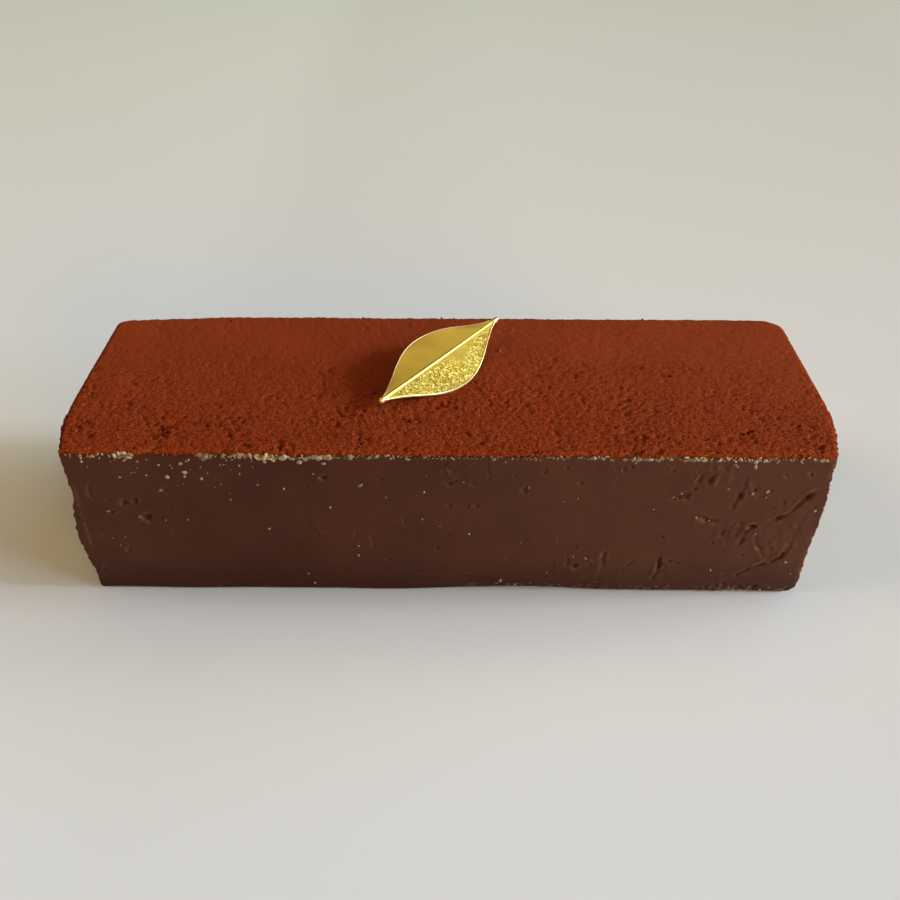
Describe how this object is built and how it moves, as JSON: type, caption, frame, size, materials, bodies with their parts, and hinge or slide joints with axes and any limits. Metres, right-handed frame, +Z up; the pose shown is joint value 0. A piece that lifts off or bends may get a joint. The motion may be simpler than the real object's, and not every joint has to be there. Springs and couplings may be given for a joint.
{
  "type": "chocolate marquise",
  "caption": "Whole bar of set dark chocolate marquise with swept ends, a rough cocoa dusting over its flat top and a gilded leaf leaning on it.",
  "frame": {"origin": "middle of the base, on the surface that the bar stands on", "axes": "+X along the bar, -Y the front face, +Z up"},
  "size_m": [0.2, 0.069, 0.0547],
  "materials": {
    "chocolate": "satin dark chocolate, smooth with torn pits and creases",
    "cocoa": "matte red-brown cocoa powder in fine clumps",
    "gilt": "pale gold lustre, satin on one half and finely hammered on the other"
  },
  "bodies": {
    "root": {"marquise": "chocolate", "cocoa_coat": "cocoa", "gold_leaf": "gilt"}
  },
  "joints": []
}
